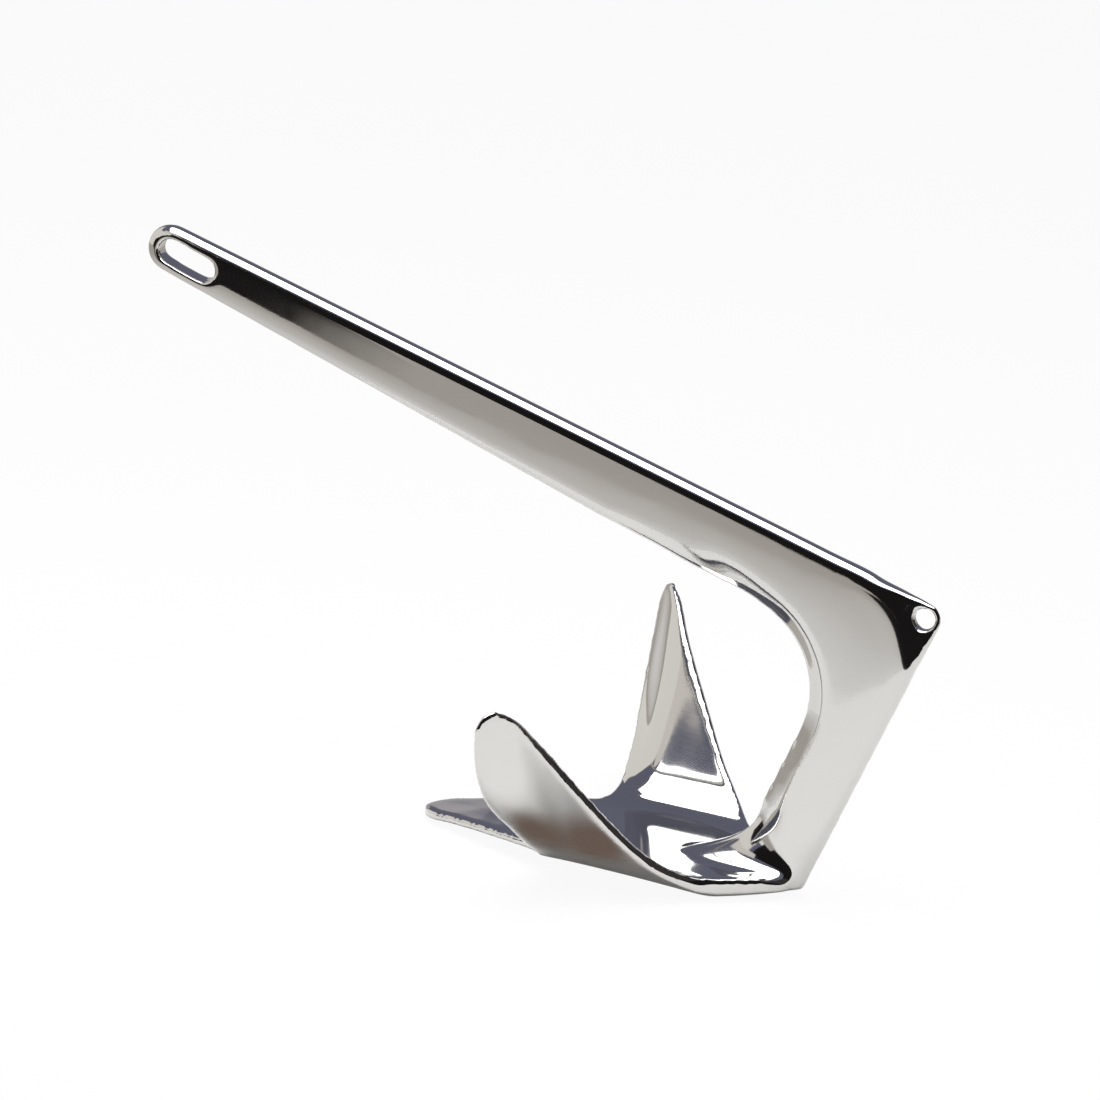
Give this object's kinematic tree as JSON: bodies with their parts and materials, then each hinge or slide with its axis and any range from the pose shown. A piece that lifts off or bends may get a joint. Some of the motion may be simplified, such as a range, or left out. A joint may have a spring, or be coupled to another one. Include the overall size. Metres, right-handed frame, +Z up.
{
  "type": "claw anchor",
  "caption": "One-piece claw boat anchor: a long tapered shank with a shackle slot, a bent arm with a tripping-line hole and a curved scoop with pointed toes that digs into the seabed.",
  "frame": {"origin": "on the ground under the middle of the anchor's outline, resting on its crown and the tip of its middle toe", "axes": "+X ahead along the shank to the shackle slot and the toe, +Y to port across the palms and along the tripping-line hole, +Z up"},
  "size_m": [0.5652, 0.3594, 0.3544],
  "materials": {
    "polished_stainless": "mirror polished cast stainless steel"
  },
  "bodies": {
    "root": {"claw_anchor": "polished_stainless"}
  },
  "joints": []
}
